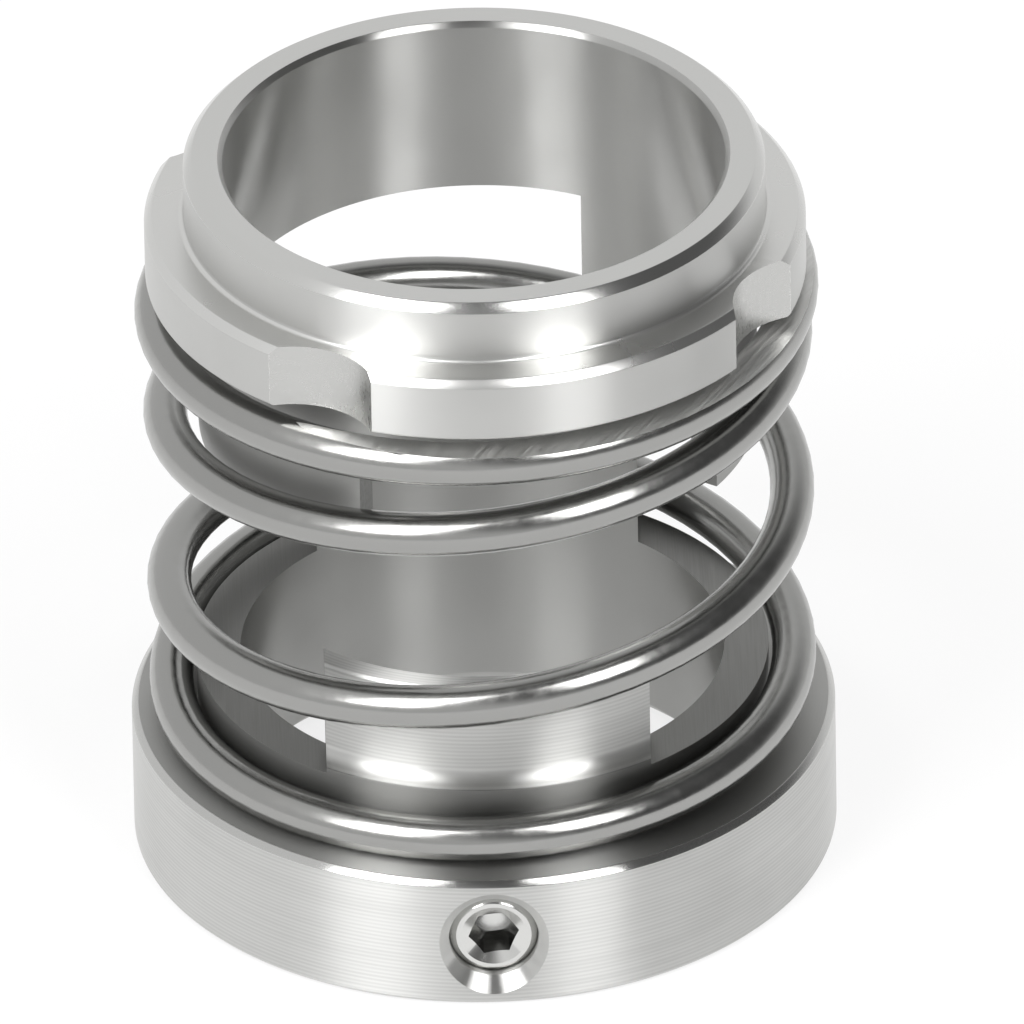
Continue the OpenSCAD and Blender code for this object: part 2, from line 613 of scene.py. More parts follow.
@dataclass(frozen=True)
class DrawnWire(Finish):
    """Drawn stainless wire: faint lines along the wire over a soft sheen."""

    line_length: float = 12.0
    lines_round: float = 14.0
    depth: float = 0.0015
    spot_width: float = 1.1
    # How much the spots stand out beside the lines
    spot_share: float = 0.5
    # Shares of the roughness between which the gloss clouds
    clearest: float = 0.8
    dullest: float = 1.3

    def shader(self, tree: bpy.types.NodeTree, metal: bpy.types.Node) -> None:
        """Adds drawing lines along the wire and small dull spots.

        Args:
            tree: The material's node tree.
            metal: Its surface shader.
        """
        wrap = add(tree, "ShaderNodeUVMap", {"uv_map": Spring.WRAP})
        lines_at = add(
            tree,
            "ShaderNodeMapping",
            {"vector_type": "POINT"},
            {"Scale": (1 / (self.line_length * MM), self.lines_round, 1)},
            {"Vector": wrap.outputs[0]},
        )
        lines = add(
            tree,
            "ShaderNodeTexNoise",
            values={"Scale": 1.0, "Detail": 3.0, "Roughness": 0.6},
            links={"Vector": lines_at.outputs[0]},
        )
        place = add(tree, "ShaderNodeTexCoord")
        spots = add(
            tree,
            "ShaderNodeTexNoise",
            values={"Scale": 1 / (self.spot_width * MM), "Detail": 5.0, "Roughness": 0.7},
            links={"Vector": place.outputs["Object"]},
        )
        height = add(
            tree,
            "ShaderNodeMath",
            {"operation": "MULTIPLY_ADD"},
            {1: self.spot_share},
            {0: spots.outputs["Fac"], 2: lines.outputs["Fac"]},
        )
        bump = add(
            tree,
            "ShaderNodeBump",
            values={"Strength": 1.0, "Distance": self.depth * MM},
            links={"Height": height.outputs[0]},
        )
        gloss = add(
            tree,
            "ShaderNodeMapRange",
            values={
                1: NOISE_LOW,
                2: NOISE_HIGH,
                3: self.roughness * self.clearest,
                4: self.roughness * self.dullest,
            },
            links={0: spots.outputs["Fac"]},
        )
        tree.links.new(gloss.outputs[0], metal.inputs["Roughness"])
        tree.links.new(bump.outputs[0], metal.inputs["Normal"])


# The spring's two seats as the photo shows them, a little inside the solids' seats
LOW_SEAT = 9.8
HIGH_SEAT = 44.1
# Height of the set screw's axis
SCREW_Z = 4.9
SCREW_AXIS = {"axis": (0, -1, 0), "axis_height": SCREW_Z}

# Stainless steel bar turned with a coarse feed: pale, with rings that show, painted shade in their
# grooves and soft tall streaks
COLLAR_STEEL = TurnedSteel("turned collar steel", "D6D6D4", 0.34, ring_depth=0.004, groove_shade=0.13)
# The same bar turned with a fine feed: silky and even, with soft spots of light
RING_STEEL = TurnedSteel("fine turned ring steel", "CDCDCB", 0.33, pitch=0.12, ring_depth=0.0006)
# A bevel cut by the side of the tool: a narrow bright line along an edge
BEVEL_STEEL = TurnedSteel("bright turned bevel", "C8C8C6", 0.2, pitch=0.15, ring_depth=0.001)
# Stainless steel faced with a light cut, as a sealing face is: clean, even and nearly a mirror
FACED_STEEL = TurnedSteel(
    "faced ring steel", "D4D4D2", 0.22, pitch=0.12, ring_depth=0.0006, stretch=0.6
)
# Stainless steel faced without care: paler and softer than the sealing face
LEDGE_STEEL = TurnedSteel(
    "matt faced steel", "DCDCDA", 0.28, pitch=0.2, ring_depth=0.001, stretch=0.5
)
# Turned stainless steel painted darker as shade, for the collar's bore, the rim's top under the
# spring and the sleeve inside the spring: flat grey with wide soft streaks
SHADED_TURNED_STEEL = TurnedSteel("turned steel with painted shade", "B4B4B2", 0.36, pitch=0.25, ring_depth=0.002)
# Turned stainless steel with deep rings, painted dark as the spring's shade on the hub
HUB_SHADED_STEEL = TurnedSteel("hub steel with painted shade", "8C8C8A", 0.34, pitch=0.3, ring_depth=0.003)
# Stainless steel bored with a long tool, painted a little darker as shade inside the bore: tall
# streaks, clouded where the tool chattered
BORED_SHADED_STEEL = TurnedSteel("bored steel with painted shade", "C0C0BE", 0.32, pitch=0.4, ring_depth=0.002, cloud=0.08)
# Stainless steel cut with the side of a mill: dull, with straight scratches, and painted dark as
# the shade in the slots and under the spring
MILLED_SHADED_STEEL = CutSteel("milled steel", "8E8E8C", 0.42, turned_by=90)
# Stainless steel hollowed by an end mill: pale, with faint cloudy lines
HOLLOW_STEEL = CutSteel("end milled steel", "C4C4C2", 0.3, scratch_width=0.2, depth=0.001)
# Spring wire ground on a coarse wheel: nearly white, with scratches that show
GROUND_STEEL = CutSteel(
    "ground wire end", "E4E4E2", 0.5, scratch_width=0.25, depth=0.01, turned_by=60
)
# Drawn stainless spring wire: dark and glossy, so that light runs along it in thin lines
WIRE_STEEL = DrawnWire("drawn wire", "A2A2A0", 0.2)
# Stainless steel screw, rolled and tumbled bright: the clearest reflections of the seal
SCREW_STEEL = TurnedSteel(
    "bright screw steel", "D6D6D4", 0.14, pitch=0.1, ring_depth=0.0003, stretch=0.3, **SCREW_AXIS
)
# Countersunk stainless steel: a soft bright cone round the screw
SINK_STEEL = TurnedSteel("countersunk steel", "C8C8C6", 0.32, pitch=0.2, **SCREW_AXIS)
# A broached hexagon: smooth walls painted dark as the shade inside the socket, of which only some
# catch the light
SOCKET_SHADED_STEEL = CutSteel("broached socket with painted shade", "6A6A68", 0.2, scratch_width=0.2, depth=0.0005)


@dataclass
class DriveCollar:
    """The collar that the set screw holds on the shaft."""

    bore_r: float = 16.5
    rim_h: float = LOW_SEAT
    rim_bevel: float = 0.4
    foot_bevel: float = 0.4
    lead_bevel: float = 1.15
    hub_r: float = 19.5
    hub_z: float = 14.4
    mill_z: float = 14.0
    tongue_w: float = 22.0
    tongue_r: float = 18.3
    tongue_edge: float = 0.2
    screw_z: float = SCREW_Z
    hole_r: float = 3.05
    sink_r: float = 4.0
    broken_edge: float = 0.06
    steps: int = 360
    round_steps: int = 8
    outer_r: float = field(init=False)
    tongue_z: float = field(init=False)

    def __post_init__(self) -> None:
        """Reads the collar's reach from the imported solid."""
        low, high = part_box("drive_collar")
        self.outer_r = (high.x - low.x) / 2 / MM
        self.tongue_z = high.z / MM

    def section(self) -> list[Point]:
        """Draws the collar's section, with the tongue's height all round.

        Returns:
            Its corners as radius and height.
        """
        foot = self.hub_r - self.tongue_r
        return [
            (self.bore_r + self.lead_bevel, 0),
            (self.outer_r - self.foot_bevel, 0),
            (self.outer_r, self.foot_bevel),
            (self.outer_r, self.rim_h - self.rim_bevel),
            (self.outer_r - self.rim_bevel, self.rim_h),
            (self.hub_r, self.rim_h),
            *arc((self.hub_r, self.hub_z + foot), foot, 270, 180, self.round_steps),
            (self.tongue_r, self.tongue_z - self.tongue_edge),
            (self.tongue_r - self.tongue_edge, self.tongue_z),
            (self.bore_r + self.tongue_edge, self.tongue_z),
            (self.bore_r, self.tongue_z - self.tongue_edge),
            (self.bore_r, self.lead_bevel),
        ]

    def cutters(self) -> list[bpy.types.Object]:
        """Makes what the mill, the drill and the countersink take away.

        Returns:
            The closed shapes to cut out of the collar.
        """
        past = 1.0
        rise = self.tongue_z - self.mill_z + past
        reach = self.outer_r + past
        across = (self.tongue_w + reach) / 2
        sides = [
            block("side", (side * across, 0, self.mill_z + rise / 2), (reach, 2 * reach, rise))
            for side in (-1, 1)
        ]
        out = Matrix.Translation((0, 0, self.screw_z)) @ Matrix.Rotation(math.radians(90), 4, "X")
        sunk = self.sink_r - self.hole_r
        hole = cone("hole", (self.hole_r, 0), (self.hole_r, reach), out)
        sink = cone(
            "sink",
            (self.hole_r - past, self.outer_r - sunk - past),
            (self.sink_r + past, self.outer_r + past),
            out,
        )
        return [*sides, hole, sink]

    def finish_at(self, middle: Vector, normal: Vector) -> Finish:
        """Picks the finish for a face.

        Args:
            middle: The face's middle in millimetres.
            normal: Its direction.

        Returns:
            The finish.
        """
        milled_side = abs(normal.x) > SQUARE and abs(abs(middle.x) - self.tongue_w / 2) < NEAR
        milled_step = normal.z > SQUARE and abs(middle.z - self.mill_z) < NEAR
        # Milled faces: painted shade
        if milled_side or milled_step:
            return MILLED_SHADED_STEEL
        from_screw = math.hypot(middle.x, middle.z - self.screw_z)
        if from_screw < self.sink_r and middle.y < 0 and abs(normal.y) < OBLIQUE:
            return SINK_STEEL
        radius = math.hypot(middle.x, middle.y)
        corner = self.rim_bevel + 2 * NEAR
        if middle.z > self.rim_h - corner and radius > self.outer_r - corner:
            return BEVEL_STEEL if normal.z > TILTED else COLLAR_STEEL
        outward = (middle.x * normal.x + middle.y * normal.y) / radius
        # Faces that look into the collar's bore: painted shade
        if outward < -LEANING:
            return SHADED_TURNED_STEEL
        # The hub's wall under the spring: painted dark as shade
        if self.rim_h + NEAR < middle.z < self.hub_z and radius > self.tongue_r:
            return HUB_SHADED_STEEL
        # The rim's top under the spring: painted shade
        if normal.z > MOSTLY and middle.z < self.hub_z:
            return SHADED_TURNED_STEEL
        return COLLAR_STEEL

    def build(self) -> bpy.types.Object:
        """Turns, mills, drills and dresses the collar.

        Returns:
            The collar.
        """
        shape = lathe(self.section(), self.steps)
        break_edges(shape, self.broken_edge)
        collar = object_from("collar_visual", shape)
        carve(collar, self.cutters())
        finishes = [COLLAR_STEEL, MILLED_SHADED_STEEL, SINK_STEEL, BEVEL_STEEL, SHADED_TURNED_STEEL, HUB_SHADED_STEEL]
        dress(collar, finishes, self.finish_at)
        shade(collar)
        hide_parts("drive_collar")
        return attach(collar, "collar")


@dataclass
class SetScrew:
    """The socket screw in the collar's front."""

    thread_r: float = 3.0
    bevel: float = 0.45
    axis_z: float = SCREW_Z
    hex_w: float = 3.0
    hex_depth: float = 3.0
    mouth_r: float = 2.25
    mouth_half: float = 60.0
    socket_turn: float = 7.0
    cup_r: float = 1.6
    thread_pitch: float = 1.0
    thread_depth: float = 0.45
    # Shares of the pitch at which the thread's crest, flank and root end
    crest: float = 0.125
    flank: float = 0.5
    root: float = 0.62
    broken_edge: float = 0.04
    steps: int = 128
    inner: float = field(init=False)
    length: float = field(init=False)

    def __post_init__(self) -> None:
        """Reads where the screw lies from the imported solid."""
        low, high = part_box("set_screw")
        self.inner = -high.y / MM
        self.length = (high.y - low.y) / MM

    def section(self) -> list[Point]:
        """Draws the screw's section from the cup point outward.

        Returns:
            Its corners as radius and place along the screw.
        """
        section = [(0, self.cup_r / 2), (self.cup_r, 0), (self.thread_r - self.bevel, 0)]
        core_r = self.thread_r - self.thread_depth
        z = self.bevel
        while z + self.thread_pitch < self.length - self.bevel:
            section += [
                (self.thread_r, z),
                (self.thread_r, z + self.thread_pitch * self.crest),
                (core_r, z + self.thread_pitch * self.flank),
                (core_r, z + self.thread_pitch * self.root),
            ]
            z += self.thread_pitch
        section += [
            (self.thread_r, z),
            (self.thread_r, self.length - self.bevel),
            (self.thread_r - self.bevel, self.length),
            (0, self.length),
        ]
        return section

    def corner(self) -> float:
        """Returns how far the hexagon's corners are from its middle."""
        return self.hex_w / 2 / math.cos(math.radians(30))

    def finish_at(self, middle: Vector, normal: Vector) -> Finish:
        """Picks the turned or the broached finish for a face.

        Args:
            middle: The face's middle in millimetres.
            normal: Its direction.

        Returns:
            The finish.
        """
        from_axis = math.hypot(middle.x, middle.z - self.axis_z)
        in_socket = from_axis < self.corner() + NEAR and abs(normal.y) < SLOPING
        # The socket's walls: painted shade
        return SOCKET_SHADED_STEEL if in_socket else SCREW_STEEL

    def build(self) -> bpy.types.Object:
        """Turns the screw, broaches its socket and dresses it.

        Returns:
            The screw.
        """
        place = (
            Matrix.Translation((0, 0, self.axis_z))
            @ Matrix.Rotation(math.radians(90), 4, "X")
            @ Matrix.Translation((0, 0, self.inner))
        )
        shape = lathe(self.section(), self.steps, closed=False)
        break_edges(shape, self.broken_edge)
        scaled = place.copy()
        scaled.translation *= MM
        bmesh.ops.transform(shape, matrix=scaled, verts=shape.verts)
        screw = object_from("set_screw_visual", shape)
        floor = self.length - self.hex_depth
        inside_r = self.hex_w / 2
        corner = self.corner()
        # How far the cutters reach past the face and each other, and the drill's blunt tip
        past, below, overlap, tip_r = 0.5, 0.2, 0.001, 0.01
        turned = place @ Matrix.Rotation(math.radians(self.socket_turn - 30), 4, "Z")
        slope = math.tan(math.radians(self.mouth_half))
        mouth_depth = (self.mouth_r - inside_r) / slope
        cutters = [
            cone("hexagon", (corner, floor), (corner, self.length + past), turned, 6),
            cone("point", (tip_r, floor - inside_r / 2), (inside_r, floor + overlap), place),
            cone(
                "mouth",
                (inside_r - below, self.length - mouth_depth - below / slope),
                (self.mouth_r + past, self.length + past / slope),
                place,
            ),
        ]
        carve(screw, cutters)
        dress(screw, [SCREW_STEEL, SOCKET_SHADED_STEEL], self.finish_at)
        shade(screw)
        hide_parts("set_screw")
        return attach(screw, "screw")


@dataclass
class Spring:
    """The coil spring with its closed and ground ends."""

    WRAP: ClassVar[str] = "along_and_round"
    # Turns from the lower tip, and how far the closed end rises there to meet the next coil
    TIP_LIFTS: ClassVar[tuple[Point, ...]] = (
        (0, 2.7),
        (0.08, 2.5),
        (0.14, 2.1),
        (0.2, 1.4),
        (0.26, 0.6),
        (0.32, 0.15),
        (0.38, 0),
    )

    wire_r: float = 1.5
    coil_r: float = 21.25
    # The last turn is this much wider, from these turns before the upper tip on
    end_spread: float = 0.45
    spread_turns: Point = (1.1, 0.7)
    tip_h: float = 2.4
    turns: float = 3.95
    tip_turn: float = -185.0
    upper_askew: float = 1.15
    turn_rings: int = 72
    sides: int = 32
    low_seat: float = LOW_SEAT
    high_seat: float = HIGH_SEAT
    # How far the ring can press it down
    stroke: float = 10.5

    def pitch_marks(self) -> list[Point]:
        """Says how unevenly the real spring was wound.

        Returns:
            Turns from the lower tip and the pitch there, closed at both ends.
        """
        top = self.turns
        return [
            (0, 2),
            (0.45, 1.6),
            (0.65, 6),
            (0.85, 15),
            (1.3, 8.8),
            (1.55, 15),
            (2, 14),
            (top - 1.75, 11.5),
            (top - 1.35, 12.5),
            (top - 1.15, 6.5),
            (top - 0.95, 3),
            (top, 3),
        ]

    @staticmethod
    def between(marks: Sequence[Point], at: float) -> float:
        """Reads a value between two marks.

        Args:
            marks: Places and values, in order.
            at: The place that is asked for.

        Returns:
            The value there, held level past both ends.
        """
        for (first, low), (last, high) in zip(marks, marks[1:]):
            if at <= last:
                share = max(0.0, (at - first) / (last - first))
                return low + (high - low) * share
        return marks[-1][1]

    def heights(self) -> list[float]:
        """Adds up the pitch from the lower seat to the upper one.

        Returns:
            The height of the wire's middle at each ring of points.
        """
        count = round(self.turn_rings * self.turns)
        step = self.turns / count
        marks = self.pitch_marks()
        sums = [0.0]
        for i in range(count):
            sums.append(sums[-1] + step * self.between(marks, (i + 0.5) * step))
        first = self.low_seat + self.tip_h - self.wire_r
        last = self.high_seat - self.tip_h + self.wire_r
        lifts = [self.between(self.TIP_LIFTS, i * step) for i in range(count + 1)]
        return [first + (last - first) * s / sums[-1] + up for s, up in zip(sums, lifts)]

    def wind(self) -> bmesh.types.BMesh:
        """Winds the wire ring by ring round the axis.

        Returns:
            The wire with both ends closed.
        """
        shape = bmesh.new()
        heights = self.heights()
        start = Matrix.Rotation(math.radians(self.tip_turn), 4, "Z")
        stand = Matrix.Translation((0, -self.coil_r * MM, heights[0] * MM))
        bmesh.ops.create_circle(
            shape,
            cap_ends=False,
            segments=self.sides,
            radius=self.wire_r * MM,
            matrix=start @ stand @ Matrix.Rotation(math.radians(90), 4, "Y"),
        )
        ends = [list(shape.edges)]
        last: list[bmesh.types.BMVert | bmesh.types.BMEdge] = [*shape.verts, *shape.edges]
        step = self.turns / (len(heights) - 1)
        spread_from, spread_to = (self.turns - before for before in self.spread_turns)
        spread = [(spread_from, 0.0), (spread_to, self.end_spread)]
        for i in range(1, len(heights)):
            turned = bmesh.ops.spin(
                shape,
                geom=last,
                cent=(0, 0, 0),
                axis=UP,
                dvec=(0, 0, (heights[i] - heights[i - 1]) * MM),
                angle=step * TURN,
                steps=1,
                use_duplicate=False,
            )
            last = turned["geom_last"]
            wider = self.between(spread, i * step) - self.between(spread, (i - 1) * step)
            angle = math.radians(self.tip_turn) + i * step * TURN
            verts = [v for v in last if isinstance(v, bmesh.types.BMVert)]
            outward = Vector((math.sin(angle), -math.cos(angle), 0))
            bmesh.ops.translate(shape, verts=verts, vec=outward * wider * MM)
        ends.append([e for e in last if isinstance(e, bmesh.types.BMEdge)])
        for rim in ends:
            bmesh.ops.contextual_create(shape, geom=rim)
        bmesh.ops.recalc_face_normals(shape, faces=shape.faces)
        return shape

    def grind(
        self, shape: bmesh.types.BMesh, height: float, facing: Facing, askew: float = 0.0
    ) -> None:
        """Grinds one end flat and closes the flat.

        Args:
            shape: The wound wire.
            height: Height of the grinding plane at the back of the coil.
            facing: Which side of the plane stays.
            askew: How much lower the plane lies at the front of the coil.
        """
        lean = math.atan(askew / (2 * self.coil_r))
        level = Matrix.Rotation(lean, 3, "X") @ UP
        cut = bmesh.ops.bisect_plane(
            shape,
            geom=[*shape.verts, *shape.edges, *shape.faces],
            dist=IN_PLANE,
            plane_co=(0, self.coil_r * MM, height * MM),
            plane_no=level * facing.value,
            clear_inner=True,
        )
        rim = [e for e in cut["geom_cut"] if isinstance(e, bmesh.types.BMEdge)]
        flats = bmesh.ops.contextual_create(shape, geom=rim)["faces"]
        for flat in flats:
            flat.material_index = 1

    def wrap(self, shape: bmesh.types.BMesh) -> None:
        """Lays coordinates on the wire: metres along it, and turns round it.

        Args:
            shape: The finished wire.
        """
        layer = shape.loops.layers.uv.new(self.WRAP)
        heights = self.heights()
        step = self.turns / (len(heights) - 1)
        run = self.coil_r * MM * TURN
        for face in shape.faces:
            middle = face.calc_center_median()
            part = (math.atan2(middle.x, -middle.y) - math.radians(self.tip_turn)) / TURN
            whole = min(
                (n for n in range(-1, math.ceil(self.turns) + 2) if 0 <= part + n <= self.turns),
                key=lambda n: abs(heights[round((part + n) / step)] - middle.z / MM),
                default=0,
            )
            turn = part + whole
            for loop in face.loops:
                at = loop.vert.co
                angle = math.atan2(at.x, -at.y) - math.radians(self.tip_turn)
                own = angle / TURN
                own += round(turn - own)
                height = heights[min(max(round(own / step), 0), len(heights) - 1)]
                out = math.hypot(at.x, at.y) / MM - self.coil_r
                around = math.atan2(at.z / MM - height, out) / TURN
                loop[layer].uv = (own * run, abs(around))

    def build(self) -> bpy.types.Object:
        """Winds, grinds and dresses the spring.

        Returns:
            The spring.
        """
        shape = self.wind()
        self.grind(shape, self.low_seat, Facing.KEEP_ABOVE)
        self.grind(shape, self.high_seat, Facing.KEEP_BELOW, self.upper_askew)
        bmesh.ops.recalc_face_normals(shape, faces=shape.faces)
        self.wrap(shape)
        spring = object_from("spring_visual", shape)
        spring.data.materials.append(WIRE_STEEL.material())
        spring.data.materials.append(GROUND_STEEL.material())
        spring.data.shade_smooth()
        spring.data.set_sharp_from_angle(angle=math.radians(30))
        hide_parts("spring")
        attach(spring, "spring")
        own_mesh(spring)
        return spring


@dataclass
class SealRing:
    """The slotted ring whose nose carries the sealing face."""

    bore_r: float = 17.0
    sleeve_r: float = 19.0
    slot_h: float = 7.6
    tongue_half: float = 11.25
    turned: float = 15.2
    flange_r: float = 22.4
    flange_bevel: float = 0.5
    flange_edge: float = 0.2
    nose_r: float = 19.7
    nose_h: float = 4.35
    nose_round: float = 0.4
    nose_bevel: float = 0.6
    face_bevel: float = 0.35
    hollow_r: float = 5.7
    hollow_depth: float = 1.9
    hollow_at: float = 45.0
    broken_edge: float = 0.05
    steps: int = 360
    round_steps: int = 8
    hollow_steps: int = 192
    seat_z: float = HIGH_SEAT
    sleeve_z: float = field(init=False)
    flange_z: float = field(init=False)
    face_z: float = field(init=False)

    def __post_init__(self) -> None:
        """Reads the ring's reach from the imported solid."""
        low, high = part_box("seal_ring")
        self.sleeve_z = low.z / MM
        self.face_z = high.z / MM
        self.flange_z = self.face_z - self.nose_h

    def section(self) -> list[Point]:
        """Draws the ring's section, with the sleeve's full length all round.

        Returns:
            Its corners as radius and height.
        """
        foot = (self.nose_r + self.nose_round, self.flange_z + self.nose_round)
        return [
            (self.bore_r, self.sleeve_z),
            (self.sleeve_r, self.sleeve_z),
            (self.sleeve_r, self.seat_z),
            (self.flange_r - self.flange_edge, self.seat_z),
            (self.flange_r, self.seat_z + self.flange_edge),
            (self.flange_r, self.flange_z - self.flange_bevel),
            (self.flange_r - self.flange_bevel, self.flange_z),
            *arc(foot, self.nose_round, 270, 180, self.round_steps),
            (self.nose_r, self.face_z - self.nose_bevel),
            (self.nose_r - self.nose_bevel, self.face_z),
            (self.bore_r + self.face_bevel, self.face_z),
            (self.bore_r, self.face_z - self.face_bevel),
        ]

    def cutters(self) -> list[bpy.types.Object]:
        """Makes what is milled away: the two slots and the four hollows.

        Returns:
            The closed shapes to cut out of the ring.
        """
        half = math.asin(self.tongue_half / self.bore_r)
        past = 1.0
        reach = self.sleeve_r + past
        slot = [(0, 0), (-reach * math.tan(half), -reach), (reach * math.tan(half), -reach)]
        low, high = self.seat_z - past, self.flange_z + past
        middle = self.flange_r - self.hollow_depth + self.hollow_r
        made = []
        for side in (self.turned, self.turned + 180):
            turn = Matrix.Rotation(math.radians(side), 2)
            outline = [tuple(turn @ Vector(p)) for p in slot]
            slot_end = self.sleeve_z + self.slot_h
            made.append(extruded("slot", outline, self.sleeve_z - past, slot_end))
            for angle in (side - self.hollow_at, side + self.hollow_at):
                out = Matrix.Rotation(math.radians(angle), 4, "Z")
                place = out @ Matrix.Translation((0, -middle, 0))
                ends = (self.hollow_r, low), (self.hollow_r, high)
                made.append(cone("hollow", *ends, place, self.hollow_steps))
        return made

    def finish_at(self, middle: Vector, normal: Vector) -> Finish:
        """Picks the finish for a face.

        Args:
            middle: The face's middle in millimetres.
            normal: Its direction.

        Returns:
            The finish.
        """
        # How far a hollow's walls keep from the flange's edges and from its outside
        margin, skin = 0.3, 0.02
        well_above = 1.0
        radius = math.hypot(middle.x, middle.y)
        outward = (middle.x * normal.x + middle.y * normal.y) / radius
        upright = abs(normal.z) < UPRIGHT
        in_flange = self.seat_z + margin < middle.z < self.flange_z - margin
        if in_flange and upright and self.nose_r < radius < self.flange_r - skin:
            return HOLLOW_STEEL
        in_slot = middle.z < self.sleeve_z + self.slot_h + 2 * NEAR and abs(outward) < LEANING
        # The slots' milled walls: painted shade
        if in_slot and (upright or middle.z > self.sleeve_z + well_above):
            return MILLED_SHADED_STEEL
        # The ring's bore: painted shade
        if outward < -LEANING:
            return BORED_SHADED_STEEL
        # The sleeve inside the spring: painted shade
        if middle.z < self.seat_z - 2 * NEAR and outward > LEANING:
            return SHADED_TURNED_STEEL
        if normal.z < LEANING:
            return RING_STEEL
        return FACED_STEEL if middle.z > self.flange_z + well_above else LEDGE_STEEL

    def build(self) -> bpy.types.Object:
        """Turns the ring, mills its slots and hollows, and dresses it.

        Returns:
            The ring.
        """
        shape = lathe(self.section(), self.steps)
        break_edges(shape, self.broken_edge)
        ring = object_from("seal_ring_visual", shape)
        carve(ring, self.cutters())
        finishes = [
            RING_STEEL,
            HOLLOW_STEEL,
            MILLED_SHADED_STEEL,
            BORED_SHADED_STEEL,
            SHADED_TURNED_STEEL,
            FACED_STEEL,
            LEDGE_STEEL,
        ]
        dress(ring, finishes, self.finish_at)
        shade(ring)
        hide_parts("seal_ring")
        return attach(ring, "ring")


@dataclass
class SoftBox:
    """One soft lamp that looks at the seal, with its sizes in metres."""

    name: str
    azimuth: float
    elevation: float
    width: float
    height: float
    glow: float
    distance: float = 0.7

    def build(self, target: Vector) -> bpy.types.Object:
        """Hangs the lamp.

        Args:
            target: The point that it faces, in metres.

        Returns:
            The lamp's object.
        """
        lamp = bpy.data.lights.new(self.name, "AREA")
        lamp.shape = "RECTANGLE"
        lamp.size = self.width
        lamp.size_y = self.height
        lamp.energy = self.glow * math.pi * self.width * self.height
        made = bpy.data.objects.new(self.name, lamp)
        bpy.context.scene.collection.objects.link(made)
        way = direction(self.azimuth, self.elevation)
        made.location = target + way * self.distance
        made.rotation_euler = way.to_track_quat("Z", "Y").to_euler()
        made.visible_camera = False
        return made


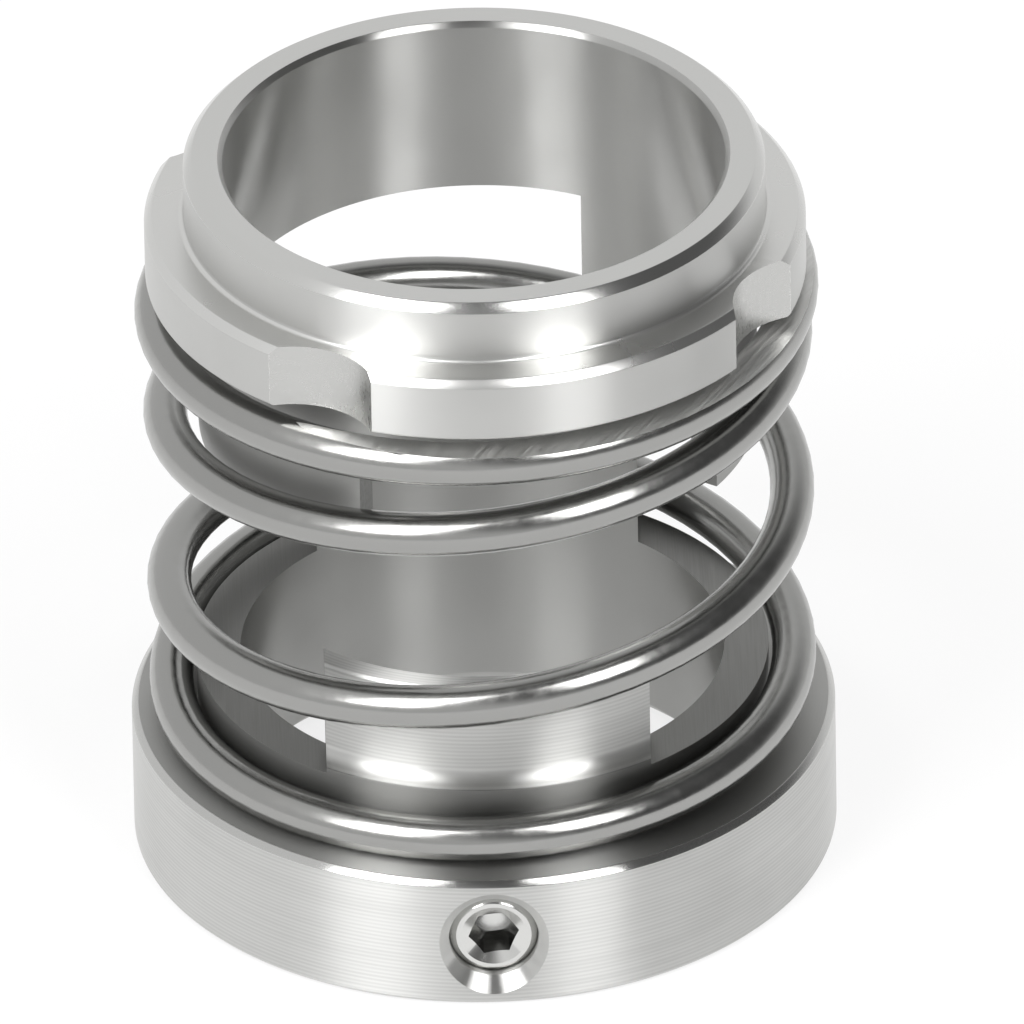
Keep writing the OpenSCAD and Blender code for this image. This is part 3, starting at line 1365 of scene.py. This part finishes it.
@dataclass
class Studio:
    """The camera, the pale floor and the soft light."""

    azimuth: float = -1.1
    elevation: float = 32.03
    roll: float = -1.0
    # The camera's distance in metres and the width of its sensor
    distance: float = 2.5
    sensor: float = 36
    pixels_per_mm: float = 14.628
    image_width: int = 1024
    # Where the seal's axis meets the floor in the image, in pixels
    axis_x: float = 485.6
    axis_y: float = 815.2
    floor_colour: str = "F2F2F2"
    # Half the floor's width in metres, and how far it lies under the seal in millimetres
    floor_half: float = 1.5
    floor_gap: float = 0.02
    haze: float = 0.75
    # The sky darkens to the ceiling between two marks, along a way that leans to the right
    ceiling: float = 0.12
    ceiling_way: tuple[float, float, float] = (0.8, -0.35, 1)
    ceiling_marks: Point = (0.45, 1.05)
    sky_light: float = 0.7
    # Height of the point at which the lamps look, in millimetres
    lit_height: float = 25.0
    lamps: tuple[SoftBox, ...] = (
        SoftBox("left soft box", -41, 46, 0.28, 0.5, 8.0),
        SoftBox("right soft box", 34, 46, 0.22, 0.5, 8.0),
    )

    def camera(self) -> bpy.types.Object:
        """Sets a very long lens at the photograph's angle.

        Returns:
            The camera.
        """
        back = direction(self.azimuth, self.elevation)
        right = direction(self.azimuth + 90, 0)
        over = back.cross(right)
        roll = math.radians(self.roll)
        image_right = right * math.cos(roll) + over * math.sin(roll)
        image_up = over * math.cos(roll) - right * math.sin(roll)
        middle = self.image_width / 2
        aim = image_right * (middle - self.axis_x) + image_up * (self.axis_y - middle)
        aim *= MM / self.pixels_per_mm
        data = bpy.data.cameras.new("long lens")
        data.sensor_width = self.sensor
        span = self.image_width / self.pixels_per_mm * MM
        data.lens = data.sensor_width * self.distance / span
        made = bpy.data.objects.new("camera", data)
        bpy.context.scene.collection.objects.link(made)
        turn = Matrix((image_right, image_up, back)).transposed().to_4x4()
        made.matrix_world = Matrix.Translation(aim + back * self.distance) @ turn
        bpy.context.scene.camera = made
        return made

    @staticmethod
    def seen_ray(tree: bpy.types.NodeTree) -> bpy.types.NodeSocket:
        """Adds a switch that is one for camera, glossy and transmission rays.

        Args:
            tree: The tree that gets the nodes.

        Returns:
            The switch's output.
        """
        path = add(tree, "ShaderNodeLightPath")
        first = add(
            tree,
            "ShaderNodeMath",
            {"operation": "MAXIMUM"},
            links={0: path.outputs["Is Camera Ray"], 1: path.outputs["Is Glossy Ray"]},
        )
        both = add(
            tree,
            "ShaderNodeMath",
            {"operation": "MAXIMUM"},
            links={0: first.outputs[0], 1: path.outputs["Is Transmission Ray"]},
        )
        return both.outputs[0]

    def floor(self) -> bpy.types.Object:
        """Lays the pale floor, which glows white enough to meet the backdrop.

        Returns:
            The floor.
        """
        shape = bmesh.new()
        bmesh.ops.create_grid(
            shape,
            x_segments=1,
            y_segments=1,
            size=self.floor_half,
            matrix=Matrix.Translation((0, 0, -self.floor_gap * MM)),
        )
        made = object_from("floor", shape)
        paper = bpy.data.materials.new("pale floor")
        paper.use_nodes = True
        tree = paper.node_tree
        tree.nodes.clear()
        dull = add(tree, "ShaderNodeBsdfDiffuse", values={"Color": linear(self.floor_colour)})
        glow = add(tree, "ShaderNodeEmission", values={"Strength": 1.0})
        share = add(
            tree,
            "ShaderNodeMath",
            {"operation": "MULTIPLY"},
            {1: self.haze},
            {0: self.seen_ray(tree)},
        )
        mix = add(
            tree,
            "ShaderNodeMixShader",
            links={0: share.outputs[0], 1: dull.outputs[0], 2: glow.outputs[0]},
        )
        add(tree, "ShaderNodeOutputMaterial", links={"Surface": mix.outputs[0]})
        made.data.materials.append(paper)
        return made

    def sky(self) -> None:
        """Sets the backdrop: white round the horizon, and a dark ceiling over it for the steel."""
        world = bpy.data.worlds.new("soft studio")
        bpy.context.scene.world = world
        world.use_nodes = True
        tree = world.node_tree
        tree.nodes.clear()
        path = add(tree, "ShaderNodeLightPath")
        place = add(tree, "ShaderNodeTexCoord")
        rise = add(
            tree,
            "ShaderNodeVectorMath",
            {"operation": "DOT_PRODUCT"},
            {1: self.ceiling_way},
            {0: place.outputs["Generated"]},
        )
        first, last = self.ceiling_marks
        ceiling = add(
            tree,
            "ShaderNodeMapRange",
            {"interpolation_type": "SMOOTHSTEP"},
            {1: first, 2: last, 3: 1.0, 4: self.ceiling},
            {0: rise.outputs["Value"]},
        )
        glossy = add(tree, "ShaderNodeBackground", links={"Strength": ceiling.outputs[0]})
        white = add(
            tree, "ShaderNodeBackground", values={"Color": linear("FFFFFF"), "Strength": 1.0}
        )
        soft = add(tree, "ShaderNodeBackground", values={"Strength": self.sky_light})
        for_steel = add(
            tree,
            "ShaderNodeMixShader",
            links={0: path.outputs["Is Glossy Ray"], 1: soft.outputs[0], 2: glossy.outputs[0]},
        )
        seen = add(
            tree,
            "ShaderNodeMixShader",
            links={0: path.outputs["Is Camera Ray"], 1: for_steel.outputs[0], 2: white.outputs[0]},
        )
        add(tree, "ShaderNodeOutputWorld", links={"Surface": seen.outputs[0]})

    def build(self) -> None:
        """Sets up the camera, floor, backdrop and lamps."""
        self.camera()
        self.floor()
        self.sky()
        target = UP * self.lit_height * MM
        for lamp in self.lamps:
            lamp.build(target)
        bpy.context.scene.view_settings.view_transform = "Standard"


def main() -> None:
    """Loads the solids, builds the four pieces and the studio, and reports each."""
    logging.basicConfig(level=logging.INFO, format="%(name)s: %(message)s")
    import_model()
    Studio().build()
    for maker in (DriveCollar(), SetScrew(), Spring(), SealRing()):
        piece = maker.build()
        LOG.info("%s: %d faces", piece.name, len(piece.data.polygons))


if __name__ == "__main__":
    main()
